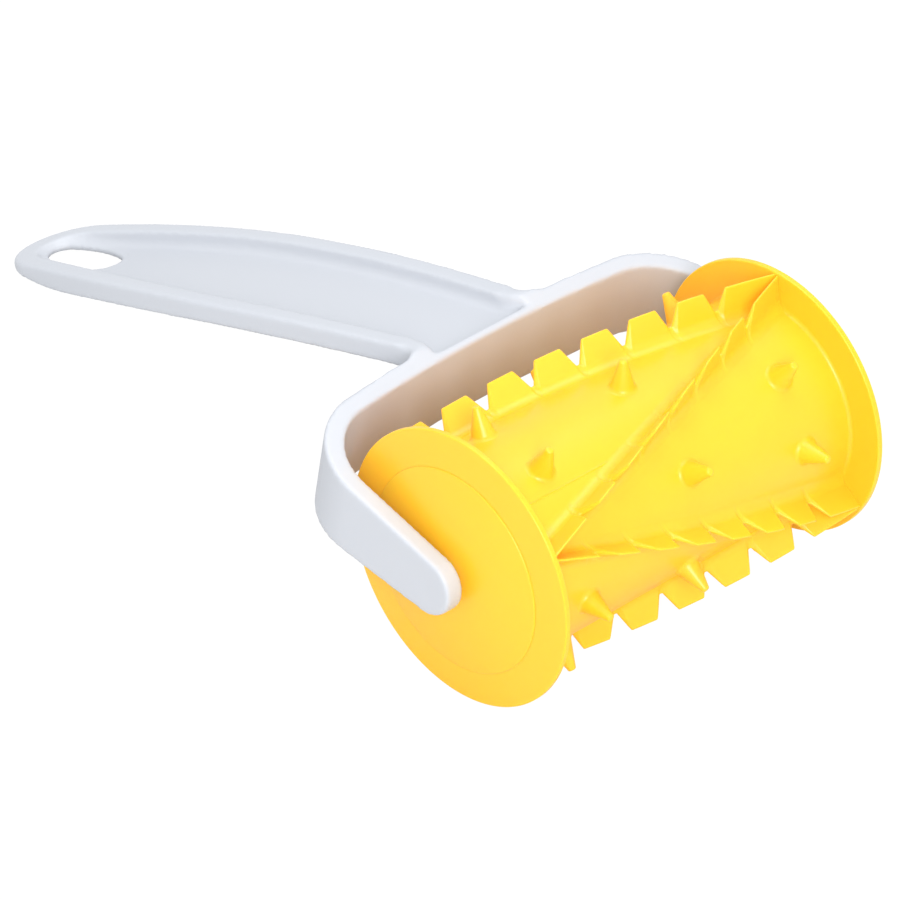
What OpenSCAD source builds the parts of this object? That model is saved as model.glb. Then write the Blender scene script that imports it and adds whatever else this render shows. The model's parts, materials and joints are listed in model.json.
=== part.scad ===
// Pastry roller: a toothed lattice roller that spins on two stub pins in a one-piece handle frame.
// Millimetres. X runs along the roller's axle, Z is up, and the grip points to +Y.
// The tool lies as it does on a table, on the roller's two rims and the tip of the grip.
// The origin is on the table, under the middle of the tool's bounding box.

/* [Roller] */
// Length over the two rims
roller_len = 98; // [80:1:130]
// Diameter of the rims
rim_d = 65; // [56:1:80]
// Thickness of each rim
rim_t = 1.4; // [1:0.1:3]
// Outer diameter of the barrel
barrel_d = 48.4; // [38:0.2:50]
// Wall of the barrel
barrel_wall = 2; // [1.2:0.1:3]
// Radius of the fillet where the barrel meets a rim
foot_r = 1; // [0.5:0.1:2]
// How far the shallow cones of the roller's end faces would rise from the rims' edges to the axle
end_rise = 3.6; // [2:0.1:4]
// How far the roller is turned on its pins
roller_turn = -1; // [-180:1:180]

/* [Blades] */
// Zigzags round the roller, each one blade out and one blade back
zigzag_count = 3; // [2:1:5]
// Teeth on each blade
tooth_count = 8; // [4:1:10]
// Distance between neighbouring notches, along the axle
tooth_pitch = 11.2; // [6:0.1:12]
// Width of a notch at the cutting edge
notch_w = 5.2; // [2:0.1:5.8]
// Width of a notch at its floor
notch_floor_w = 0.8; // [0.4:0.1:1.8]
// Height of the band left under the notches, above the barrel
blade_band = 2.8; // [1:0.1:4]
// How far the cutting edge stays inside the rims
edge_inset = 0.5; // [0.2:0.1:2]
// Thickness of a blade at the barrel
blade_root_t = 2.4; // [1.2:0.1:3]
// Thickness of a blade at its cutting edge
blade_edge_t = 0.5; // [0.3:0.1:1]

/* [Spikes] */
// Diameter of a spike at the barrel
spike_d = 5.2; // [3:0.1:6]
// Diameter of a spike at its blunt tip
spike_tip_d = 1.6; // [0.6:0.1:2]
// How far the spikes' tips stay inside the rims
spike_inset = 1.3; // [0.5:0.1:3]
// Distance of the paired spikes from the outer face of the nearer rim
spike_pair_x = 15.6; // [10:0.1:25]
// Angle of the paired spikes from the middle of their field
spike_pair_angle = 21; // [10:1:25]

/* [End caps] */
// How far a cap stands proud of its rim
cap_proud = 0.4; // [0.2:0.1:1]
// Wall of a cap's coned face
cap_t = 1.6; // [1.2:0.1:2.4]
// Length of the skirt that plugs the barrel
skirt_len = 7; // [4:0.5:12]
// Wall of the skirt
skirt_wall = 1.6; // [1.2:0.1:2.5]
// Gap between the skirt and the barrel's bore, on the radius
skirt_gap = 0.05; // [0.02:0.01:0.1]
// Diameter of the hub inside a cap
hub_d = 11; // [9:0.5:16]
// Length of the hub behind the cap's flange
hub_len = 8; // [6:0.5:14]

/* [Pins] */
// Diameter of the stub pins
pin_d = 6; // [4:0.1:7]
// Running gap between a pin and its hub, on the radius
pin_gap = 0.08; // [0.03:0.01:0.1]
// Taper at the tip of a pin
pin_lead = 0.8; // [0.4:0.1:1.2]
// Diameter of the shoulder that keeps the roller in the middle
shoulder_d = 8; // [7:0.1:9]
// Side play between a shoulder and its cap
side_play = 0.4; // [0.3:0.1:1]

/* [Yoke] */
// Wall of the arms and the bar
yoke_wall = 4.6; // [3.5:0.1:6]
// Gap between an arm and the nearer rim
arm_gap = 5.4; // [4:0.1:8]
// Diameter of the rounded arm ends
arm_end_d = 13.8; // [12:0.1:18]
// Distance from the axle to the middle of the bar's inner face
bar_reach = 43.3; // [38:0.1:60]
// How far the bar bows outwards at its middle
bar_bow = 1.7; // [0.5:0.1:4]
// Radius of the yoke's inner corners
corner_r = 16.5; // [8:0.5:20]
// Height of the bar's top edge over the arms' middle line
bar_rise = 11.8; // [9:0.1:16]
// Depth of the bar's lower edge under the arms' middle line
bar_drop = 7.8; // [7:0.1:12]
// Slope of the arms over the table
arm_tilt = 7.8; // [4:0.1:16]

/* [Grip] */
// Length of the grip along its curve
grip_len = 153.5; // [110:0.5:200]
// Greatest width of the grip
grip_w = 39; // [30:0.5:48]
// Thickness of the grip's edge
grip_t = 5.3; // [4:0.1:7]
// Thickness left at the tip, where the underside runs up
nose_t = 1; // [0.6:0.1:2]
// Length of the run-up of the underside
nose_run = 30; // [24:1:45]
// Radius of the grip's long downward curve
grip_curve_r = 850; // [600:10:2000]
// Distance of the widest place from the bar
grip_wide_y = 64; // [40:1:70]
// Radius of the sides between the bar and the widest place
side_front_r = 880; // [600:10:1500]
// Radius of the sides between the widest place and the tip
side_rear_r = 368; // [300:2:500]
// Radius of the fillets between the grip and the bar
grip_fillet_r = 6; // [3:0.5:10]
// Width of the rim round the dished top
dish_rim = 5; // [3:0.1:8]
// Thickness of the dish's floor
floor_t = 1.6; // [1:0.1:3]
// Radius of the dish's sides towards the tip
dish_rear_r = 340; // [300:2:400]
// Distance from the end of the dish to the grip's tip
dish_tip_gap = 5.8; // [3:0.1:12]
// Thickness left between the dish and the bar's inner face
bar_land = 2.6; // [2:0.1:4]
// Width of the hanging slot
slot_w = 11; // [9:0.1:13]
// Length of the hanging slot
slot_len = 21; // [16:0.5:30]
// Radius of the slot's ends
slot_end_r = 4; // [3:0.1:4.4]
// Distance from the slot's outer end to the grip's tip
slot_tip_gap = 7.6; // [6.5:0.1:14]

/* [Hidden] */
white = "#e9ecf2";
lemon = "#fde030";
overrun = 1;
fine = 96;
finest = 720;

// Roller
rim_r = rim_d / 2;
barrel_r = barrel_d / 2;
bore_r = barrel_r - barrel_wall;
edge_r = rim_r - edge_inset;
notch_r = barrel_r + blade_band;
sink = barrel_wall / 4;
root_r = barrel_r - sink;
spike_h = rim_r - spike_inset - root_r;
field_angle = 180 / zigzag_count;

// Height of the coned end face over the plane of the rim's edge
function rise(r) = end_rise * (1 - r / rim_r);
seat_rise = rise(barrel_r);

// End caps and pins
skirt_r = bore_r - skirt_gap;
skirt_in_r = skirt_r - skirt_wall;
pin_r = pin_d / 2;
hub_bore_r = pin_r + pin_gap;
pin_end = hub_len - side_play;
hub_rise = rise(hub_d / 2) + cap_proud;
cap_face = hub_rise + side_play;

// Yoke, in its own plane: u runs from the axle to the bar, v square to it
arm_r = arm_end_d / 2;
arm_in = roller_len / 2 + arm_gap;
arm_out = arm_in + yoke_wall;
corner_out_r = corner_r + yoke_wall;
corner_x = arm_in - corner_r;
corner_u = bar_reach - bar_bow - corner_r;
bar_r = (corner_x ^ 2 + bar_bow ^ 2) / (2 * bar_bow);
// The bowed bar runs on over the round corner, to just before both meet
corner_lap = corner_r * corner_x / bar_r;
bar_out = bar_reach + yoke_wall;
// The plane of the top edge passes just inside the round arm ends
arm_top_r = arm_r - yoke_wall / 40;
top_slope = atan2(bar_rise, bar_reach) - asin(arm_top_r / norm([bar_rise, bar_reach]));
low_slope = atan2(bar_drop, bar_reach) - asin(arm_r / norm([bar_drop, bar_reach]));
top_v = arm_top_r / cos(top_slope) + bar_out * tan(top_slope);

// Grip, in the table frame with the axle at y = 0, z = 0: the grip starts where the bar's top edge ends
start_y = bar_out * cos(arm_tilt) - top_v * sin(arm_tilt);
start_z = bar_out * sin(arm_tilt) + top_v * cos(arm_tilt);
arc_angle = grip_len / grip_curve_r * 180 / PI;
under_r = grip_curve_r - grip_t;
tip_r = grip_curve_r - nose_t;
// The slope at the bar is the one that sets the tip's lower edge on the table
fall_c = tip_r * cos(arc_angle) - grip_curve_r;
fall_s = -tip_r * sin(arc_angle);
start_slope = atan2(fall_s, fall_c) + acos(-(rim_r + start_z) / norm([fall_c, fall_s]));
centre_y = start_y - grip_curve_r * sin(start_slope);
centre_z = start_z - grip_curve_r * cos(start_slope);
tip_y = centre_y + tip_r * sin(start_slope + arc_angle);
// The run-up is an arc that leaves the underside smoothly and ends at the tip
run_angle = nose_run / under_r * 180 / PI;
run_r = (under_r ^ 2 + tip_r ^ 2 - 2 * under_r * tip_r * cos(run_angle))
    / (2 * (tip_r * cos(run_angle) - under_r));
wide_y = start_y + grip_wide_y;
land_y = (bar_reach + bar_land) * cos(arm_tilt) - top_v * sin(arm_tilt);
root_y = (bar_reach + yoke_wall / 2) * cos(arm_tilt) - top_v * sin(arm_tilt);
// Centre of the fillets between the grip and the bar, each sunk a little into the bar's outer face
fillet_sink = yoke_wall / 12;
fillet_x = grip_w / 2 - grip_wide_y ^ 2 / (2 * side_front_r) + grip_fillet_r;
fillet_y = start_y - fillet_x ^ 2 / (2 * (bar_r + yoke_wall)) + grip_fillet_r - fillet_sink;

// Radius of a nose that ends at y_end and runs smoothly into sides of radius side_r
function nose_r(half_w, side_r, y_end) =
    (side_r ^ 2 - (side_r - half_w) ^ 2 - (y_end - wide_y) ^ 2) / (2 * (side_r - (y_end - wide_y)));

// Place of the parts' frame: under the middle of the bounding box
box_y = (tip_y - rim_r) / 2;

module place() {
    translate([0, -box_y, rim_r]) children();
}

// Turns a solid of revolution from Z onto the axle
module on_axle() {
    rotate([0, 90, 0]) children();
}

// Moves a piece made for the left end to the right end
module at_right_end() {
    mirror([1, 0, 0]) children();
}

// Outline of the yoke in its own plane
module yoke_half_outline(r, reach, side) {
    intersection() {
        union() {
            translate([corner_x, corner_u]) circle(r, $fn = finest);
            translate([-overrun, corner_u]) square([overrun + corner_x + corner_lap, r + bar_bow + overrun]);
            translate([-overrun, -rim_r]) square([side + overrun, corner_u + rim_r]);
        }
        translate([0, reach - bar_r - (reach - bar_reach)]) circle(bar_r + reach - bar_reach, $fn = finest);
    }
}

module yoke_outline(r, reach, side) {
    yoke_half_outline(r, reach, side);
    mirror([1, 0]) yoke_half_outline(r, reach, side);
}

// Side view of the arms and the bar, open at the top: u to the right, v up
module yoke_profile() {
    circle(arm_r, $fn = fine);
    far = bar_out + overrun;
    polygon([
        [0, 0],
        [-arm_r * sin(low_slope), -arm_r * cos(low_slope)],
        [far, -arm_r / cos(low_slope) - far * tan(low_slope)],
        [far, rim_r],
        [0, rim_r]
    ]);
}

// Gives a side view in the yoke's plane its width
module across_yoke(half_width) {
    rotate([arm_tilt, 0, 0]) rotate([90, 0, 90])
        translate([0, 0, -half_width]) linear_extrude(2 * half_width) children();
}

// Arms and bar, still too high
module tall_yoke() {
    intersection() {
        rotate([arm_tilt, 0, 0]) translate([0, 0, -rim_r]) linear_extrude(rim_d) difference() {
            yoke_outline(corner_out_r, bar_out, arm_out);
            yoke_outline(corner_r, bar_reach, arm_in);
        }
        across_yoke(arm_out) yoke_profile();
    }
}

// All that lies over the plane of the yoke's top edge, which also trims the root of the grip
module over_top_edge() {
    far = bar_out + bar_reach;
    across_yoke(arm_out + overrun) polygon([
        [-arm_end_d, arm_top_r / cos(top_slope) - arm_end_d * tan(top_slope)],
        [far, arm_top_r / cos(top_slope) + far * tan(top_slope)],
        [far, rim_d],
        [-arm_end_d, rim_d]
    ]);
}

// Stub pin with its shoulder, on the left arm
module stub_pin() {
    translate([-arm_in - yoke_wall / 2, 0, 0]) on_axle() {
        cylinder(h = yoke_wall / 2 + arm_gap - cap_face, d = shoulder_d, $fn = fine);
        cylinder(h = yoke_wall / 2 + arm_gap + pin_end - pin_lead, r = pin_r, $fn = fine);
        translate([0, 0, yoke_wall / 2 + arm_gap + pin_end - pin_lead])
            cylinder(h = pin_lead, r1 = pin_r, r2 = pin_r - pin_lead, $fn = fine);
    }
}

// Plan of a leaf shape: sides of two radii that meet at the widest place, with a round nose
module leaf(half_w, front_r, rear_r, y_start, y_end) {
    r = nose_r(half_w, rear_r, y_end);
    lean = atan2(y_end - r - wide_y, rear_r - half_w);
    y_join = y_end - r + r * sin(lean);
    intersection() {
        for_side(half_w, front_r) circle(front_r, $fn = finest);
        mirror([1, 0]) for_side(half_w, front_r) circle(front_r, $fn = finest);
        translate([-half_w, y_start]) square([2 * half_w, wide_y - y_start + overrun]);
    }
    intersection() {
        for_side(half_w, rear_r) circle(rear_r, $fn = finest);
        mirror([1, 0]) for_side(half_w, rear_r) circle(rear_r, $fn = finest);
        translate([-half_w, wide_y]) square([2 * half_w, y_join - wide_y]);
    }
    translate([0, y_end - r]) circle(r, $fn = fine);
}

// Centres a side's circle so that it passes through the widest place
module for_side(half_w, r) {
    translate([half_w - r, wide_y]) children();
}

// Fills both corners beside the bar, from y_start on, up to arcs round the fillets' centres
module corner_fillets(r, y_start) {
    for (side = [0, 1]) mirror([side, 0]) difference() {
        translate([0, y_start]) square([fillet_x, fillet_y - y_start]);
        translate([fillet_x, fillet_y]) circle(r, $fn = fine);
    }
}

// Side view of all that lies more than a height over the grip's underside: y to the right, z up
module over_underside(height) {
    translate([centre_y, centre_z]) rotate(run_angle - arc_angle - start_slope) {
        difference() {
            translate([-2 * grip_len, 0]) square([2 * grip_len, grip_curve_r + rim_d]);
            circle(under_r + height, $fn = finest);
        }
        intersection() {
            translate([-overrun, under_r]) square([2 * nose_run, rim_d]);
            translate([0, under_r + run_r]) circle(run_r - height, $fn = finest);
        }
    }
}

// Gives a side view its width
module across_grip() {
    rotate([90, 0, 90]) translate([0, 0, -grip_w]) linear_extrude(2 * grip_w) children();
}

// Gives a plan its height
module through_grip() {
    translate([0, 0, -rim_d]) linear_extrude(2 * rim_d) children();
}

module grip() {
    intersection() {
        through_grip() {
            leaf(grip_w / 2, side_front_r, side_rear_r, root_y, tip_y);
            corner_fillets(grip_fillet_r, root_y);
        }
        across_grip() intersection() {
            over_underside(0);
            translate([centre_y, centre_z]) circle(grip_curve_r, $fn = finest);
        }
    }
}

module dish() {
    intersection() {
        through_grip() {
            leaf(grip_w / 2 - dish_rim, side_front_r, dish_rear_r, land_y, tip_y - dish_tip_gap);
            corner_fillets(grip_fillet_r + dish_rim, land_y);
        }
        across_grip() over_underside(floor_t);
    }
}

// Slot with round ends and slightly bowed sides
module hanging_slot() {
    end_y = slot_len / 2 - slot_end_r;
    side_r = (slot_w ^ 2 / 4 + end_y ^ 2 - slot_end_r ^ 2) / (slot_w - 2 * slot_end_r);
    join_y = end_y + slot_end_r * end_y / (side_r - slot_end_r);
    translate([0, tip_y - slot_tip_gap - slot_len / 2]) through_grip() {
        intersection() {
            translate([slot_w / 2 - side_r, 0]) circle(side_r, $fn = finest);
            translate([side_r - slot_w / 2, 0]) circle(side_r, $fn = finest);
            translate([-slot_w / 2, -join_y]) square([slot_w, 2 * join_y]);
        }
        for (side = [-1, 1]) translate([0, side * end_y]) circle(slot_end_r, $fn = fine);
    }
}

// White moulding: grip, bar, two arms and their stub pins in one piece
module handle_frame() {
    color(white) place() {
        difference() {
            union() {
                tall_yoke();
                grip();
            }
            over_top_edge();
            dish();
            hanging_slot();
        }
        stub_pin();
        at_right_end() stub_pin();
    }
}

// Half section of the barrel with both rims: radius to the right, axle up
module barrel_section() {
    half = roller_len / 2;
    for (side = [0, 1]) mirror([0, side]) {
        polygon([
            [bore_r, -overrun],
            [bore_r, half + seat_rise],
            [barrel_r, half + seat_rise],
            [rim_r, half],
            [rim_r, half - rim_t],
            [barrel_r, half - rim_t],
            [barrel_r, -overrun]
        ]);
        translate([barrel_r, half - rim_t - foot_r]) difference() {
            square(foot_r);
            translate([foot_r, 0]) circle(foot_r, $fn = fine);
        }
    }
}

// A point on the roller: x along the axle, r from it, the angle turned from the top to the front,
// and a step t square to the radius
function on_roller(x, r, angle, t) =
    [x, -r * sin(angle) + t * cos(angle), r * cos(angle) + t * sin(angle)];

// Stations along a blade: place on the axle and height of the edge there
first_notch = -(tooth_count - 2) / 2 * tooth_pitch;
blade_end = (roller_len - rim_t) / 2;
blade_stations = [
    [-blade_end, edge_r],
    for (k = [0 : tooth_count - 2])
        let (x = first_notch + k * tooth_pitch)
        each [
            [x - tooth_pitch / 2, edge_r],
            [x - notch_w / 2, edge_r],
            [x - notch_floor_w / 2, notch_r],
            [x + notch_floor_w / 2, notch_r],
            [x + notch_w / 2, edge_r]
        ],
    [first_notch + (tooth_count - 1.5) * tooth_pitch, edge_r],
    [blade_end, edge_r]
];

// One blade: it winds from one rim to the other at a steady rate. Everywhere it tapers from the same
// root to a thin top edge, also in the notches, so each tooth stands on a foot as long as the pitch
module blade(angle_left, angle_right) {
    last = len(blade_stations) - 1;
    points = [
        for (s = blade_stations)
            let (angle = (angle_left + angle_right) / 2 + (angle_right - angle_left) * s[0] / roller_len)
            each [
                on_roller(s[0], root_r, angle, -blade_root_t / 2),
                on_roller(s[0], root_r, angle, blade_root_t / 2),
                on_roller(s[0], s[1], angle, blade_edge_t / 2),
                on_roller(s[0], s[1], angle, -blade_edge_t / 2)
            ]
    ];
    // A tooth's corner edge runs from the root in the middle of the notch to the end of the cutting edge
    sides = [
        for (j = [0 : last - 1], k = [0 : 3])
            let (
                a = 4 * j + k,
                b = 4 * j + (k + 1) % 4,
                falls = blade_stations[j + 1][1] < blade_stations[j][1],
                from_b = (k == 1) == falls
            )
            each from_b ? [[a, a + 4, b], [b, a + 4, b + 4]] : [[a, b + 4, b], [a, a + 4, b + 4]]
    ];
    ends = [
        [0, 1, 2], [0, 2, 3],
        [4 * last, 4 * last + 2, 4 * last + 1], [4 * last, 4 * last + 3, 4 * last + 2]
    ];
    polyhedron(points, concat(sides, ends), convexity = 10);
}

module blades() {
    for (i = [0 : 2 * zigzag_count - 1])
        blade(field_angle * (2 * ceil(i / 2) - 1), field_angle * 2 * floor(i / 2));
}

module spike(x, angle) {
    translate([x, 0, 0]) rotate([angle, 0, 0]) translate([0, 0, root_r])
        cylinder(h = spike_h, d1 = spike_d, d2 = spike_tip_d, $fn = fine / 4);
}

// Each triangular field between blades has two spikes near its wide end and one in the middle
module spikes() {
    for (i = [0 : 2 * zigzag_count - 1]) {
        wide_end = i % 2 == 0 ? -1 : 1;
        spike(0, i * field_angle);
        for (side = [-1, 1])
            spike(wide_end * (roller_len / 2 - spike_pair_x), i * field_angle + side * spike_pair_angle);
    }
}

// Yellow moulding: barrel, rims, blades and spikes in one piece
module roller_barrel() {
    color(lemon) place() rotate([roller_turn, 0, 0]) {
        on_axle() rotate_extrude($fn = 2 * fine) barrel_section();
        blades();
        spikes();
    }
}

// Left cap: a coned face that seats on the barrel's end, a skirt in the bore and a hub for the pin
module end_cap() {
    translate([-roller_len / 2, 0, 0]) on_axle() rotate_extrude($fn = 2 * fine) {
        polygon([
            [hub_bore_r, -hub_rise],
            [hub_d / 2, -hub_rise],
            [barrel_r, -seat_rise - cap_proud],
            [barrel_r, -seat_rise],
            [skirt_r, -seat_rise],
            [skirt_r, skirt_len],
            [skirt_in_r, skirt_len],
            [skirt_in_r, cap_t - cap_proud - rise(skirt_in_r)],
            [hub_d / 2, cap_t - hub_rise],
            [hub_d / 2, hub_len],
            [hub_bore_r, hub_len]
        ]);
    }
}

module left_end_cap() {
    color(lemon) place() end_cap();
}

module right_end_cap() {
    color(lemon) place() at_right_end() end_cap();
}

handle_frame();
roller_barrel();
left_end_cap();
right_end_cap();
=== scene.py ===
# %% [markdown]
# # A pastry roller
# The tool is a white moulded handle that holds a yellow roller between two arms. The solids, their sizes and
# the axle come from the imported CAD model. This lesson dresses them: the handle gets the soft edges of a
# moulding, the roller gets wedge-shaped blades and blunt spikes, and both get their plastic.

import json
import math

import bpy
import bmesh
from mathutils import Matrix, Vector

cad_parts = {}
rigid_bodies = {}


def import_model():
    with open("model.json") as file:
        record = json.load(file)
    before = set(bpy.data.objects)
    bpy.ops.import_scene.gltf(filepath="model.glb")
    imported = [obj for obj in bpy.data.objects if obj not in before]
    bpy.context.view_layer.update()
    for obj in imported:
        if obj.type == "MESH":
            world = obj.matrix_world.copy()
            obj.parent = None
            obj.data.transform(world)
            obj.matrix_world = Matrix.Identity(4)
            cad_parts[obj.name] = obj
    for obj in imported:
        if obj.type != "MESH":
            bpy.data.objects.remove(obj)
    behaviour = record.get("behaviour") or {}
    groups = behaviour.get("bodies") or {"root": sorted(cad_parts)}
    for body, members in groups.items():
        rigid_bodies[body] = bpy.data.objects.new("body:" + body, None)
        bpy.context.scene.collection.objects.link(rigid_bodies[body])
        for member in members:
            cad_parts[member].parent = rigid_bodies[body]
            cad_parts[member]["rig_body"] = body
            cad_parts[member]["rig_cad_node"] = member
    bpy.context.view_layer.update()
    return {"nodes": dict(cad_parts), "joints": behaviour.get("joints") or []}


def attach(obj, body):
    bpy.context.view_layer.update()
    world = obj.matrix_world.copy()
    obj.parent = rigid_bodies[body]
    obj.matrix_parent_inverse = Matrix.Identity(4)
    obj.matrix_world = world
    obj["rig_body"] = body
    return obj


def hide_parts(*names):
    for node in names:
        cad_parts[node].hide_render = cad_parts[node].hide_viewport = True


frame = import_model()

# %% [markdown]
# Lengths are easier to read in millimetres, and Blender works in metres. One name for the unit keeps both. The
# axle is where the joint says it is, so nothing here is fitted by eye.

# %% Unit, axle and sizes of the roller
MM = 0.001
axle = Vector(frame["joints"][0]["pos_m"])
rim_r = 32.49 * MM
barrel_r = 24.2 * MM
bore_r = 22.2 * MM
half_len = 49 * MM
rim_t = 1.4 * MM
end_rise = 3.6 * MM
blade_tip_r = 32 * MM
print("axle at", [round(v, 5) for v in axle])

# %% [markdown]
# Every operator acts on what is selected, so each step starts from an empty selection with one active object.
# These helpers pick or copy the object that is worked on, take it into edit mode and out again, apply a modifier or
# the object's own place and turn, and shade and count its faces.

# %% Helpers: pick an object, edit it
def pick(piece):
    bpy.ops.object.select_all(action="DESELECT")
    piece.select_set(True)
    bpy.context.view_layer.objects.active = piece


def copy_of(piece):
    """A copy with its own mesh."""
    pick(piece)
    bpy.ops.object.duplicate(linked=False)
    return bpy.context.view_layer.objects.active


def edit(piece, choose):
    """Goes into edit mode with only the vertices selected whose place choose() says yes to."""
    pick(piece)
    bpy.ops.object.mode_set(mode="EDIT")
    bpy.ops.mesh.select_mode(type="VERT")
    bpy.ops.mesh.select_all(action="DESELECT")
    mesh = bmesh.from_edit_mesh(piece.data)
    for vertex in mesh.verts:
        vertex.select_set(choose(vertex.co))
    mesh.select_flush(True)
    bmesh.update_edit_mesh(piece.data)


def leave():
    bpy.ops.object.mode_set(mode="OBJECT")


def apply_modifier(piece, kind, **values):
    modifier = piece.modifiers.new(kind.title(), kind)
    for name, value in values.items():
        setattr(modifier, name, value)
    pick(piece)
    bpy.ops.object.modifier_apply(modifier=modifier.name)


def settle(piece):
    """Puts the piece's place, turn and size into its mesh, so that its object sits at the origin."""
    pick(piece)
    bpy.ops.object.transform_apply(location=True, rotation=True, scale=True)


def smooth(piece, degrees):
    pick(piece)
    bpy.ops.object.shade_smooth_by_angle(angle=math.radians(degrees))


def count(piece):
    piece.data.calc_loop_triangles()
    print(piece.name, "has", len(piece.data.loop_triangles), "triangles")

# %% [markdown]
# ## The handle
# The real handle is one white moulding, and every edge of a moulding is a little round, because sharp steel in
# a mould wears and sharp plastic hurts the hand. The CAD solid has square edges. They could be bevelled one by
# one, but the dish, the bowed bar and the sloping arms meet in many odd corners. Instead a copy of the solid is
# remeshed into small even squares and smoothed: outer edges round off, inner corners fill, flat faces stay put.
# Squares leave small stairs along a sharp edge that runs askew, so these are very fine. Once all edges are round,
# coarser ones take their place, and the mesh gets light again. The copy also loses the marks that tie the
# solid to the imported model, because it is a new piece.

# %% Copy the handle's solid and remesh it
fine_square = 0.3 * MM
coarse_square = 0.54 * MM
handle = copy_of(frame["nodes"]["handle_frame"])
handle.name = handle.data.name = "moulded_handle"
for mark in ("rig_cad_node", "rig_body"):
    if mark in handle:
        del handle[mark]
handle.parent = None
edit(handle, lambda place: True)
bpy.ops.mesh.remove_doubles(threshold=0.001 * MM)
leave()
apply_modifier(handle, "REMESH", mode="VOXEL", voxel_size=fine_square)
apply_modifier(handle, "SMOOTH", factor=0.5, iterations=7)
count(handle)

# %% [markdown]
# The grip lies in the hand, and its edges are rounder than those of the bar and the arms. A vertex group whose
# weight grows over the first few millimetres of the grip limits a second smoothing to it.

# %% Round the grip's edges more
def ease(share):
    """Goes softly from 0 to 1."""
    share = min(1, max(0, share))
    return share * share * (3 - 2 * share)


def smooth_where(piece, name, weight_of, iterations):
    """Smooths by weights that are worked out for each vertex."""
    group = piece.vertex_groups.new(name=name)
    for vertex in piece.data.vertices:
        weight = weight_of(vertex)
        if weight > 0:
            group.add([vertex.index], weight, "REPLACE")
    apply_modifier(piece, "SMOOTH", factor=0.5, iterations=iterations, vertex_group=name)


grip_start_y = -28 * MM
smooth_where(handle, "grip", lambda vertex: ease((vertex.co.y - grip_start_y) / (8 * MM)), 20)
print("grip rounder from", round(grip_start_y / MM), "mm on")

# %% [markdown]
# Where the grip's two rails run into the bar, the moulding flares up, because a mould has no sharp inner corner
# there. The rise grows with the square of the way into the flare. The underside, which falls away evenly here,
# stays where it is, and the rise fades again over the bar and towards the arms. All values are in millimetres.

# %% Flare the rails up to the bar
flare_start_y, flare_length, flare_rise = -19, 12, 0.35
grip_thickness = 5.3
underside_z, underside_fall = 37.05, 0.264
bar_inner_y, bar_fade = -35.5, 4.5
arm_side_x, arm_fade = 25, 7
for vertex in handle.data.vertices:
    x, y, z = (value / MM for value in vertex.co)
    way = min(1, max(0, (flare_start_y - y) / flare_length))
    level = ease((z - (underside_z - underside_fall * y)) / grip_thickness)
    fade = ease((y - bar_inner_y) / bar_fade) * ease((arm_side_x - abs(x)) / arm_fade)
    vertex.co.z += flare_rise * MM * way * way * level * fade
print("rails flared by", flare_rise, "mm")

# %% [markdown]
# The wall of the dish runs into its floor in a wide soft cove. The grip's top is one long arc, so its centre and
# radius say how deep any place lies below the rails' tops. A vertex group takes all that faces the dish, and its
# weight grows with the depth: the rails' edges stay crisp, and the corner below is smoothed until it is round.
# Round the slot the weight goes down again. Then the coarser squares follow.

# %% Fill the inner corners of the dish
grip_r = 850 * MM
grip_centre = Vector((0, -238.448 * MM, -773.596 * MM))
dish_reach_x, dish_front_y, dish_deepest = 21 * MM, -36 * MM, 4.5 * MM
middle_from_y, middle_to_y = -10 * MM, 80 * MM
slot_middle_y, slot_half_width, slot_half_straight = 93.2 * MM, 5.5 * MM, 5 * MM


def cove_weight(vertex):
    """1 on the dish's floor and low on its walls, 0 on the rails' tops, outside, below and at the slot."""
    place = vertex.co
    up = Vector((0, place.y, place.z)) - grip_centre
    depth = grip_r - up.length
    up.normalize()
    if abs(place.x) > dish_reach_x or place.y < dish_front_y or not 0 < depth < dish_deepest:
        return 0
    middle_y = min(middle_to_y, max(middle_from_y, place.y))
    to_middle = Vector((-place.x, middle_y - place.y, 0)).normalized()
    level = vertex.normal.dot(up)
    facing = (vertex.normal - level * up).dot(to_middle)
    past_straight = max(0, abs(place.y - slot_middle_y) - slot_half_straight)
    beside_slot = math.hypot(place.x, past_straight) - slot_half_width
    below_edge = ease((depth - 0.5 * MM) / (1.5 * MM))
    off_slot = ease((beside_slot + 0.2 * MM) / (1.6 * MM))
    return below_edge * ease(facing * 3 + 1.6) * ease(level * 3 + 1) * off_slot


smooth_where(handle, "cove", cove_weight, 240)
apply_modifier(handle, "REMESH", mode="VOXEL", voxel_size=coarse_square)
apply_modifier(handle, "SMOOTH", factor=0.5, iterations=2)
count(handle)

# %% [markdown]
# The two places where a rail's top meets the bar are rounded in the same way, so that one flows into the other.
# The weight fades with the distance, and it leaves out the bar's inner edge.

# %% Blend the rails into the bar
corner_x, corner_y, corner_z = 15 * MM, -31 * MM, 50.3 * MM
blend_r = 5.5 * MM
bar_edge_y = -34.4 * MM


def junction_weight(vertex):
    place = vertex.co
    reach = math.hypot(abs(place.x) - corner_x, place.y - corner_y, place.z - corner_z)
    return ease((blend_r - reach) / (3.5 * MM)) * ease((place.y - bar_edge_y) / (1.6 * MM))


smooth_where(handle, "junction", junction_weight, 50)
count(handle)

# %% [markdown]
# Thick plastic shrinks as it cools. Opposite each pin the arm is thickest, so its outer face sinks in there by a
# hair. The photograph shows such a faint mark on the near arm.

# %% Sink marks opposite the pins
sink_depth, sink_r = 0.09 * MM, 2.2 * MM
outer_face_x = 58 * MM
for vertex in handle.data.vertices:
    reach = math.hypot(vertex.co.y - axle.y, vertex.co.z - axle.z)
    if abs(vertex.co.x) > outer_face_x and reach < 5 * MM:
        depth = sink_depth * math.exp(-(reach / sink_r) ** 2)
        vertex.co.x -= math.copysign(depth, vertex.co.x)
smooth(handle, 180)
print("sink marks", round(sink_depth / MM, 3), "mm deep")

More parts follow.
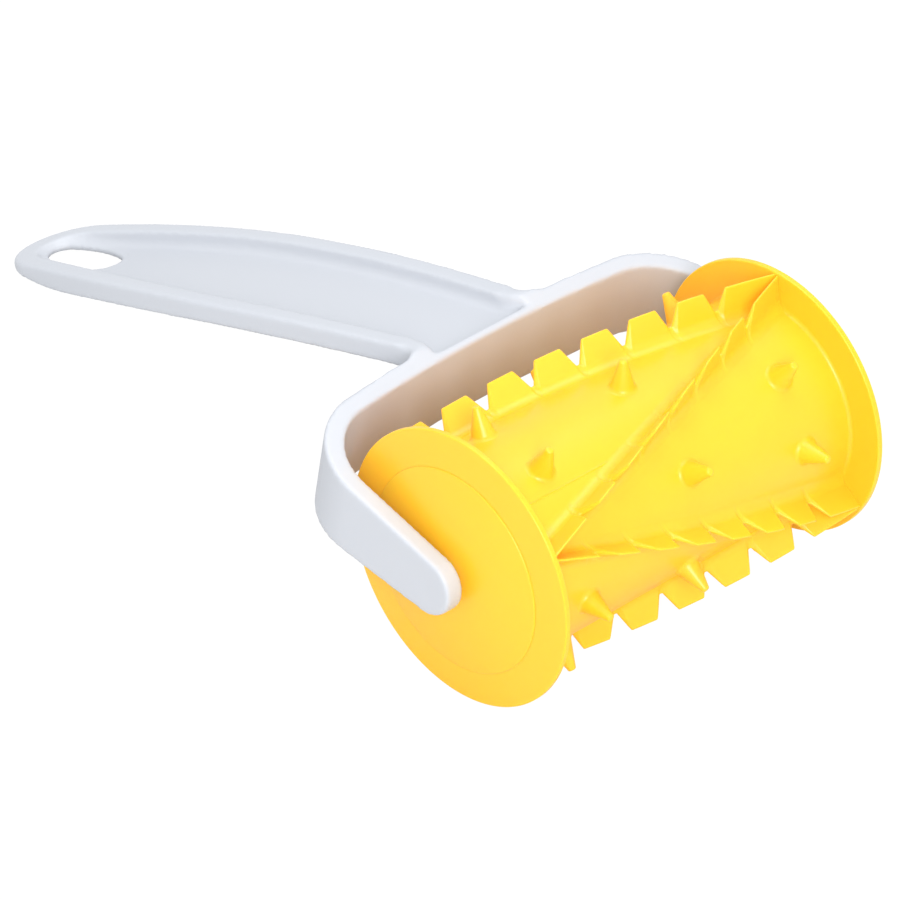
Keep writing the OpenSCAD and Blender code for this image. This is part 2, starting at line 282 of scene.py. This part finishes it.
# %% [markdown]
# ## The roller's barrel and rims
# The barrel with its two rims is a turned shape, so its section is drawn once and spun round the axle. The
# section starts as a small plane merged into one point, and that point is extruded from place to place.

# %% Helper: spin a section round the axle
turning_steps = 180


def turned(name, section):
    """section lists (along the axle, radius) round a closed outline, in metres."""
    bpy.ops.object.select_all(action="DESELECT")
    bpy.ops.mesh.primitive_plane_add(size=MM, location=(0, 0, 0))
    piece = bpy.context.view_layer.objects.active
    piece.name = piece.data.name = name
    bpy.ops.object.mode_set(mode="EDIT")
    bpy.ops.mesh.select_mode(type="VERT")
    bpy.ops.mesh.select_all(action="SELECT")
    bpy.ops.mesh.merge(type="CENTER")
    place = Vector((section[0][0], axle.y, axle.z + section[0][1]))
    bpy.ops.transform.translate(value=place)
    for along, radius in section[1:]:
        goal = Vector((along, axle.y, axle.z + radius))
        bpy.ops.mesh.extrude_vertices_move(TRANSFORM_OT_translate={"value": goal - place})
        place = goal
    bpy.ops.mesh.select_all(action="SELECT")
    bpy.ops.mesh.spin(steps=turning_steps, angle=2 * math.pi, center=axle, axis=(1, 0, 0))
    bpy.ops.mesh.select_all(action="SELECT")
    bpy.ops.mesh.remove_doubles(threshold=0.002 * MM)
    bpy.ops.mesh.normals_make_consistent(inside=False)
    leave()
    return piece


def rounded(along, radius, size, start, turn, parts=4):
    """Points of a round edge about a centre, from the start angle and on by the turn, both in degrees."""
    return [(along + size * math.cos(math.radians(start + turn * k / parts)),
             radius + size * math.sin(math.radians(start + turn * k / parts))) for k in range(parts + 1)]

# %% [markdown]
# The ends are very flat cones, so one function says how far out the end lies at a radius. Each rim's two outer
# edges are rounded a little, and a fillet leads from the barrel up into the rim. That fillet catches the bright
# line that the photograph shows at the far end of the barrel. The barrel gets a ring every 2 mm, because the
# blades are welded into it later, and short faces keep the shading even.

# %% Barrel and rims
def end_face(radius):
    return half_len + end_rise * (1 - radius / rim_r)


edge = 0.3 * MM
foot = 1.0 * MM
inner = half_len - rim_t
seat = end_face(barrel_r)
cone = math.atan2(end_rise, rim_r)
cone_turn = math.degrees(cone) - 90
right_half = (
    [(inner - foot, barrel_r)]
    + rounded(inner - foot, barrel_r + foot, foot, -90, 90)[1:]
    + [(inner, rim_r - 3 * MM)]
    + rounded(inner + edge, rim_r - edge, edge, 180, -90)
    + rounded(half_len - edge * (1 - math.sin(cone)) / math.cos(cone), rim_r - edge, edge, 90, cone_turn)
    + [(seat, barrel_r), (seat, bore_r)]
)
left_half = [(-along, radius) for along, radius in reversed(right_half)]
ring_pitch = 2
rings = [(k * ring_pitch * MM, barrel_r) for k in range(-23, 24)]
section = right_half + left_half + rings + [right_half[0]]
roller = turned("roller_moulding", section)
count(roller)

# %% [markdown]
# ## One blade
# A blade is a thin wedge with notches, wound round the barrel. It starts as a straight bar over the barrel, cut
# across by bisecting it at each corner of a notch. A few more cuts, in the middle of each tooth and in the long
# end teeth, let the bar follow its later twist.

# %% Stations of the notches
tooth_count = 8
tooth_pitch = 11.2 * MM
notch_half = 2.6 * MM
notch_floor_half = 0.4 * MM
notch_r = barrel_r + 2.8 * MM
blade_reach = half_len - rim_t / 2
root_r = barrel_r - 0.5 * MM
notches = [(k - (tooth_count - 2) / 2) * tooth_pitch for k in range(tooth_count - 1)]
print("notches at", [round(n / MM, 2) for n in notches], "mm")

# %% A bar, cut across at its stations
bar_width = 1 * MM
bpy.ops.object.select_all(action="DESELECT")
bpy.ops.mesh.primitive_cube_add(size=1, location=(0, 0, (root_r + blade_tip_r) / 2))
blade = bpy.context.view_layer.objects.active
blade.name = blade.data.name = "blade"
blade.scale = (2 * blade_reach, bar_width, blade_tip_r - root_r)
settle(blade)
bpy.ops.object.mode_set(mode="EDIT")
cuts = sorted(n + side * half for n in notches for side in (-1, 1) for half in (notch_half, notch_floor_half))
cuts += [n + tooth_pitch / 2 for n in notches[:-1]]
end_tooth_cuts = (7 * MM, 11 * MM)
cuts += [side * (notches[-1] + reach) for side in (-1, 1) for reach in end_tooth_cuts]
for cut in cuts:
    bpy.ops.mesh.select_all(action="SELECT")
    bpy.ops.mesh.bisect(plane_co=(cut, 0, 0), plane_no=(1, 0, 0))
leave()
count(blade)

# %% [markdown]
# The edge over each notch floor goes down to it. Then the root is made 2.4 mm thick and every top edge 0.5 mm, so
# the thickness goes from one to the other over the whole height, quickly in a notch and slowly on a tooth.

# %% Helpers: the corners of the notches
near = 0.01 * MM


def at(value, goal):
    return abs(value - goal) < near


def over_floor(place):
    return any(abs(place.x - n) < notch_floor_half + near for n in notches)


def at_tooth_end(place):
    return any(at(abs(place.x - n), notch_half) for n in notches)

# %% Press the notches and give the wedge its thickness
root_width, top_width = 2.4 * MM, 0.5 * MM
edit(blade, lambda place: over_floor(place) and at(place.z, blade_tip_r))
bpy.ops.transform.translate(value=(0, 0, notch_r - blade_tip_r))
leave()
for low, high, width in ((root_r, root_r, root_width), (notch_r, blade_tip_r, top_width)):
    edit(blade, lambda place: low - near < place.z < high + near)
    bpy.ops.transform.resize(value=(1, width / bar_width, 1), center_override=(0, 0, 0))
    leave()
print("blade", round(root_width / MM, 2), "mm thick at the root and", round(top_width / MM, 2), "mm at the top")

# %% [markdown]
# The side of a notch is now a bent four-cornered face. Joining its root corner under the notch floor with the
# tooth's top corner folds it into two flat ones: a tooth that is widest at its root, and a small slope beside it.

# %% Fold the faces beside the notches, round the corners
def on_fold(place):
    root_corner = over_floor(place) and at(place.z, root_r)
    top_corner = at_tooth_end(place) and at(place.z, blade_tip_r)
    return root_corner or top_corner


edit(blade, on_fold)
bpy.ops.mesh.vert_connect()
bpy.ops.mesh.select_all(action="SELECT")
bpy.ops.mesh.normals_make_consistent(inside=False)
leave()
apply_modifier(blade, "BEVEL", width=0.24 * MM, segments=3,
               limit_method="ANGLE", angle_limit=math.radians(26))
count(blade)

# %% [markdown]
# At its foot the moulding flares out into the barrel. The blade is cut level at a few heights, and then everything
# low down is pushed outwards as on a quarter circle. The barrel falls away sideways, so the foot follows it down
# and ends a hair below its surface.

# %% Helper: flare a foot into the barrel
def flare_foot(piece, size, along=0, parts=7):
    """along is 0 for a foot that grows sideways only, and 1 for a round one."""
    pick(piece)
    bpy.ops.object.mode_set(mode="EDIT")
    for k in range(parts + 1):
        height = size * (1 - math.cos(math.radians(90 * k / parts)))
        bpy.ops.mesh.select_all(action="SELECT")
        bpy.ops.mesh.bisect(plane_co=(0, 0, barrel_r + height), plane_no=(0, 0, 1), threshold=0.001 * MM)
    leave()
    for vertex in piece.data.vertices:
        height = min(size, max(0, vertex.co.z - barrel_r))
        outwards = Vector((vertex.co.x * along, vertex.co.y, 0))
        if outwards.length > 0.1 * MM:
            vertex.co += outwards.normalized() * (size - math.sqrt(size ** 2 - (size - height) ** 2))
        sag = barrel_r - math.sqrt(barrel_r ** 2 - vertex.co.y ** 2)
        vertex.co.z -= (1 - height / size) * (sag + 0.02 * MM)

# %% Flare the blade's foot
flare_foot(blade, 2.4 * MM)
count(blade)

# %% [markdown]
# Six blades part the barrel into six fields, each 60 degrees on from the last. A twist about the axle winds the
# straight bar by that angle over the whole length of the roller, so a little less over the blade itself. Three
# blades wind one way and three the other, and their ends meet on the rims in a zigzag. The whole pattern is
# turned back by one degree, as in the photograph.

# %% Twist and copy the blades
field = 60
roller_turn = -1


def wound(direction, start):
    copy = copy_of(blade)
    turn = math.radians(direction * field * blade_reach / half_len)
    apply_modifier(copy, "SIMPLE_DEFORM", deform_method="TWIST", deform_axis="X", angle=turn)
    middle = start + direction * field / 2
    copy.rotation_euler = (math.radians(middle), 0, 0)
    copy.location = axle
    settle(copy)
    return copy


blades = []
for i in range(6):
    left = field * (2 * math.ceil(i / 2) - 1) + roller_turn
    right = field * 2 * math.floor(i / 2) + roller_turn
    blades.append(wound(1 if right > left else -1, left))
bpy.data.objects.remove(blade)
print(len(blades), "blades")

# %% [markdown]
# ## The spikes
# The spikes let steam out of the dough. Each is a cone whose tip is blunt and whose foot flares into the
# barrel. One is made standing over the barrel, and the rest are copies turned round the axle.

# %% One spike
spike_h = rim_r - 1.3 * MM - root_r
spike_root = 3.0 * MM
spike_tip = 0.85 * MM
spike_sides = 40
bpy.ops.object.select_all(action="DESELECT")
bpy.ops.mesh.primitive_cone_add(vertices=spike_sides, radius1=spike_root, radius2=spike_tip, depth=spike_h,
                                location=(0, 0, root_r + spike_h / 2))
spike = bpy.context.view_layer.objects.active
spike.name = spike.data.name = "spike"
settle(spike)
apply_modifier(spike, "BEVEL", width=0.4 * MM, segments=4,
               limit_method="ANGLE", angle_limit=math.radians(50))
flare_foot(spike, 0.8 * MM, along=1, parts=5)
count(spike)

# %% Copy the spikes into their fields
def stand(along, angle):
    copy = copy_of(spike)
    copy.location = axle + Vector((along, 0, 0))
    copy.rotation_euler = (math.radians(angle + roller_turn), 0, 0)
    settle(copy)
    return copy


outer_spike_x = half_len - 15.6 * MM
outer_spike_turn = 21
spikes = []
for i in range(6):
    wide_end = -1 if i % 2 == 0 else 1
    spikes.append(stand(0, i * field))
    for side in (-1, 1):
        spikes.append(stand(wide_end * outer_spike_x, i * field + side * outer_spike_turn))
bpy.data.objects.remove(spike)
print(len(spikes), "spikes")

# %% [markdown]
# Where the two halves of the mould met, a hair of plastic was squeezed out. It shows as a fine line along the
# barrel, between the left rim and the middle.

# %% Flash line of the mould
flash_middle, flash_turn = -33 * MM, 33.4
flash_length, flash_width, flash_height = 29 * MM, 0.5 * MM, 0.2 * MM
bpy.ops.object.select_all(action="DESELECT")
bpy.ops.mesh.primitive_cube_add(size=1, location=(flash_middle, 0, barrel_r))
flash = bpy.context.view_layer.objects.active
flash.name = flash.data.name = "flash"
flash.scale = (flash_length, flash_width, flash_height)
settle(flash)
edit(flash, lambda place: place.z > barrel_r)
bpy.ops.transform.resize(value=(1, 0.15, 1), center_override=(0, 0, 0))
leave()
flash.rotation_euler = (math.radians(flash_turn), 0, 0)
flash.location = axle
settle(flash)
count(flash)

# %% [markdown]
# The blades, the spikes and the flash are part of the same moulding as the barrel. A boolean union welds them into
# one skin without anything left inside, and the flared feet then run into the barrel without a seam. Weighted
# normals let the large faces keep their own direction, so that only the small ones between them look round.

# %% Weld the roller
pick(spikes[0])
for part in spikes[1:] + [flash]:
    part.select_set(True)
bpy.ops.object.join()
for part in blades + [spikes[0]]:
    apply_modifier(roller, "BOOLEAN", operation="UNION", solver="EXACT", object=part)
    bpy.data.objects.remove(part)
edit(roller, lambda place: True)
bpy.ops.mesh.remove_doubles(threshold=0.004 * MM)
leave()
smooth(roller, 55)
apply_modifier(roller, "WEIGHTED_NORMAL", keep_sharp=True)
count(roller)

# %% [markdown]
# ## The end caps
# Each cap closes the barrel's end with a skirt in its bore and a hub for the pin. Its face carries on the cone of
# the rim, 0.4 mm proud of it, and that thin step shows as the faint circle on the roller's end.

# %% Caps
def cap_section(side):
    proud, wall, soft = 0.4 * MM, 1.6 * MM, 0.38 * MM
    pin_r, hub_r, skirt_in, skirt_out = 3.1 * MM, 5.5 * MM, 20.55 * MM, 22.15 * MM
    hub_face = end_face(hub_r) + proud
    hub_end, skirt_end, on_seat = half_len - 8 * MM, half_len - 7 * MM, seat + 0.01 * MM
    outline = (
        [(on_seat, barrel_r)]
        + rounded(seat + proud - soft, barrel_r - soft, soft, 90, cone_turn)
        + [(hub_face, hub_r), (hub_face, pin_r + 0.3 * MM), (hub_face - 0.3 * MM, pin_r), (hub_end, pin_r),
           (hub_end, hub_r), (hub_face - wall, hub_r), (end_face(skirt_in) + proud - wall, skirt_in),
           (skirt_end, skirt_in), (skirt_end, skirt_out), (on_seat, skirt_out), (on_seat, barrel_r)]
    )
    return [(side * along, radius) for along, radius in outline]


left_cap = turned("left_cap_moulding", cap_section(-1))
right_cap = turned("right_cap_moulding", cap_section(1))
for cap in (left_cap, right_cap):
    smooth(cap, 35)
    count(cap)

# %% [markdown]
# ## Plastics
# Both plastics share one effect: the fine, uneven skin of a moulding, which breaks up the gloss a little. It is
# a node group with a scale and a strength, so each material uses it with its own numbers.

# %% Node group: mould skin
def mould_skin():
    group = bpy.data.node_groups.new("mould_skin", "ShaderNodeTree")
    face = group.interface
    scale = face.new_socket(name="Scale", in_out="INPUT", socket_type="NodeSocketFloat")
    spread = face.new_socket(name="Roughness Spread", in_out="INPUT", socket_type="NodeSocketFloat")
    base = face.new_socket(name="Roughness", in_out="INPUT", socket_type="NodeSocketFloat")
    scale.default_value, spread.default_value, base.default_value = 900, 0.05, 0.4
    face.new_socket(name="Roughness", in_out="OUTPUT", socket_type="NodeSocketFloat")
    face.new_socket(name="Height", in_out="OUTPUT", socket_type="NodeSocketFloat")
    nodes, links = group.nodes, group.links
    inputs = nodes.new("NodeGroupInput")
    outputs = nodes.new("NodeGroupOutput")
    where = nodes.new("ShaderNodeTexCoord")
    fine = nodes.new("ShaderNodeTexNoise")
    fine.inputs["Detail"].default_value = 3
    links.new(where.outputs["Object"], fine.inputs["Vector"])
    links.new(inputs.outputs["Scale"], fine.inputs["Scale"])
    shift = nodes.new("ShaderNodeMath")
    shift.operation = "SUBTRACT"
    shift.inputs[1].default_value = 0.5
    links.new(fine.outputs["Fac"], shift.inputs[0])
    vary = nodes.new("ShaderNodeMath")
    vary.operation = "MULTIPLY_ADD"
    links.new(shift.outputs[0], vary.inputs[0])
    links.new(inputs.outputs["Roughness Spread"], vary.inputs[1])
    links.new(inputs.outputs["Roughness"], vary.inputs[2])
    links.new(vary.outputs[0], outputs.inputs["Roughness"])
    links.new(fine.outputs["Fac"], outputs.inputs["Height"])
    return group


skin = mould_skin()
print("node group", skin.name, "with", len(skin.nodes), "nodes")

# %% [markdown]
# A plastic starts from its colour. Soft clouds of a slightly warmer or cooler tone keep a large face from
# looking painted, and the skin group gives roughness and a very low bump.

# %% Helper: make a plastic
def plastic(name, colour, cloud, roughness, skin_scale, bump):
    material = bpy.data.materials.new(name)
    material.use_nodes = True
    nodes, links = material.node_tree.nodes, material.node_tree.links
    shader = nodes["Principled BSDF"]
    where = nodes.new("ShaderNodeTexCoord")
    clouds = nodes.new("ShaderNodeTexNoise")
    clouds.inputs["Scale"].default_value = 28
    clouds.inputs["Detail"].default_value = 2
    links.new(where.outputs["Object"], clouds.inputs["Vector"])
    tone = nodes.new("ShaderNodeMix")
    tone.data_type = "RGBA"
    tone.inputs["A"].default_value = (*colour, 1)
    tone.inputs["B"].default_value = (*cloud, 1)
    links.new(clouds.outputs["Fac"], tone.inputs["Factor"])
    links.new(tone.outputs["Result"], shader.inputs["Base Color"])
    surface = nodes.new("ShaderNodeGroup")
    surface.node_tree = skin
    surface.inputs["Scale"].default_value = skin_scale
    surface.inputs["Roughness"].default_value = roughness
    surface.inputs["Roughness Spread"].default_value = 0.04
    links.new(surface.outputs["Roughness"], shader.inputs["Roughness"])
    relief = nodes.new("ShaderNodeBump")
    relief.inputs["Strength"].default_value = bump
    relief.inputs["Distance"].default_value = 0.02 * MM
    links.new(surface.outputs["Height"], relief.inputs["Height"])
    links.new(relief.outputs["Normal"], shader.inputs["Normal"])
    return material, shader


white, white_shader = plastic("white_plastic", (0.535, 0.555, 0.60), (0.545, 0.565, 0.605), 0.42, 1500, 0.05)
yellow, yellow_shader = plastic("yellow_plastic", (1.0, 0.53, 0.018), (1.0, 0.54, 0.02), 0.34, 1100, 0.002)

# %% [markdown]
# The yellow plastic lets a little light through, which fills its shadows with orange. Subsurface scattering over
# a few millimetres does most of that. A very faint orange glow is painted light on top: it lifts the shadows
# towards orange and stands for the light that crosses the barrel.

# %% Let light into the yellow plastic, and paint a faint orange glow into it
yellow_shader.inputs["Subsurface Weight"].default_value = 0.35
yellow_shader.inputs["Subsurface Radius"].default_value = (1.0, 0.35, 0.08)
yellow_shader.inputs["Subsurface Scale"].default_value = 5 * MM
# The emission is painted light: a faint orange glow that lifts the yellow's shadows towards orange.
yellow_shader.inputs["Emission Color"].default_value = (1.0, 0.33, 0.08, 1)
yellow_shader.inputs["Emission Strength"].default_value = 0.07
for shader in (white_shader, yellow_shader):
    shader.inputs["IOR"].default_value = 1.49
print("materials", white.name, "and", yellow.name)

# %% [markdown]
# Each new piece takes the place of one solid of the imported model, and hides it. It rides on the body that the
# solid belongs to, so it moves with the joint, and it gets the white or the yellow plastic.

# %% Put the materials on, hang each piece on its body and hide the solid it replaces
for piece, material, slot, body, node in (
    (handle, white, "white_plastic", "frame", "handle_frame"),
    (roller, yellow, "yellow_plastic", "roller", "roller_barrel"),
    (left_cap, yellow, "yellow_plastic", "roller", "left_end_cap"),
    (right_cap, yellow, "yellow_plastic", "roller", "right_end_cap"),
):
    piece.data.materials.clear()
    piece.data.materials.append(material)
    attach(piece, body)
    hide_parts(node)
    print(piece.name, "stands for", node, "and rides on", body)

# %% [markdown]
# ## Floor, light and camera
# The photograph has a pure white background. The floor is pale, and for the camera it is lifted towards white
# by its own glow, so that only a faint shadow stays. The glow isn't seen by the object. From below the floor is
# clear, so that the underside can be looked at.

# %% Floor
bpy.ops.object.select_all(action="DESELECT")
bpy.ops.mesh.primitive_plane_add(size=8, location=(0, 0, -0.1 * MM))
floor = bpy.context.view_layer.objects.active
floor.name = "floor"
ground = bpy.data.materials.new("white_floor")
ground.use_nodes = True
floor_nodes, floor_links = ground.node_tree.nodes, ground.node_tree.links
floor_nodes["Principled BSDF"].inputs["Base Color"].default_value = (0.65, 0.65, 0.65, 1)
floor_nodes["Principled BSDF"].inputs["Roughness"].default_value = 0.9
glow = floor_nodes.new("ShaderNodeEmission")
glow.inputs["Color"].default_value = (1, 1, 1, 1)
glow.inputs["Strength"].default_value = 1.06
seen = floor_nodes.new("ShaderNodeLightPath")
share = floor_nodes.new("ShaderNodeMath")
share.operation = "MULTIPLY"
share.inputs[1].default_value = 0.93
floor_links.new(seen.outputs["Is Camera Ray"], share.inputs[0])
blend = floor_nodes.new("ShaderNodeMixShader")
floor_links.new(share.outputs[0], blend.inputs[0])
floor_links.new(floor_nodes["Principled BSDF"].outputs[0], blend.inputs[1])
floor_links.new(glow.outputs[0], blend.inputs[2])
see_through = floor_nodes.new("ShaderNodeBsdfTransparent")
which_side = floor_nodes.new("ShaderNodeNewGeometry")
one_sided = floor_nodes.new("ShaderNodeMixShader")
floor_links.new(which_side.outputs["Backfacing"], one_sided.inputs[0])
floor_links.new(blend.outputs[0], one_sided.inputs[1])
floor_links.new(see_through.outputs[0], one_sided.inputs[2])
floor_links.new(one_sided.outputs[0], floor_nodes["Material Output"].inputs["Surface"])
floor.data.materials.append(ground)
print("floor", [round(size, 1) for size in floor.dimensions], "m")

# %% [markdown]
# The light is that of a small product studio. A white tent stands all round, a little bluish, and the camera sees
# it pure white. The world does this with one background for the light and another for the camera.

# %% World
world = bpy.data.worlds.new("studio")
bpy.context.scene.world = world
world.use_nodes = True
tent_nodes, tent_links = world.node_tree.nodes, world.node_tree.links
tent = tent_nodes["Background"]
tent.inputs["Color"].default_value = (0.97, 0.985, 1, 1)
tent.inputs["Strength"].default_value = 0.86
white_out = tent_nodes.new("ShaderNodeBackground")
white_out.inputs["Color"].default_value = (1, 1, 1, 1)
white_out.inputs["Strength"].default_value = 1
tent_path = tent_nodes.new("ShaderNodeLightPath")
tent_mix = tent_nodes.new("ShaderNodeMixShader")
tent_links.new(tent_path.outputs["Is Camera Ray"], tent_mix.inputs[0])
tent_links.new(tent.outputs[0], tent_mix.inputs[1])
tent_links.new(white_out.outputs[0], tent_mix.inputs[2])
tent_links.new(tent_mix.outputs[0], tent_nodes["World Output"].inputs["Surface"])
print("tent of strength", round(tent.inputs["Strength"].default_value, 2))

# %% [markdown]
# Two large soft lamps give the faces their different tones: a strong one from the front left and a weaker one from
# above. Both point at the middle of the tool.

# %% Lamps
aim = Vector((0, 0, 0.03))


def lamp(name, place, power, size):
    bpy.ops.object.light_add(type="AREA", location=place)
    light = bpy.context.view_layer.objects.active
    light.name = name
    light.data.energy = power
    light.data.size = size
    light.rotation_euler = (aim - Vector(place)).to_track_quat("-Z", "Y").to_euler()
    print("lamp", name, power, "W,", size, "m wide")


lamp("key", (-0.85, -1.15, 0.87), 19, 0.7)
lamp("top", (0.2, 0.3, 1.4), 8.5, 1.0)

# %% [markdown]
# The camera stands where the photograph was taken from: above the roller's left end and far away, with a long
# lens, which is why both rims look almost equally large.

# %% Camera
camera_place = (-1.06839513, -1.07687769, 1.05926623)
camera_turn = [math.radians(angle) for angle in (55.06693583, -1.51192595, -44.4435992)]
bpy.ops.object.camera_add(location=camera_place, rotation=camera_turn)
camera = bpy.context.view_layer.objects.active
camera.data.lens = 328.685
camera.data.sensor_width = 36
camera.data.clip_end = 20
bpy.context.scene.camera = camera
print("camera with a lens of", round(camera.data.lens), "mm")
bpy.context.scene.view_settings.view_transform = "Standard"
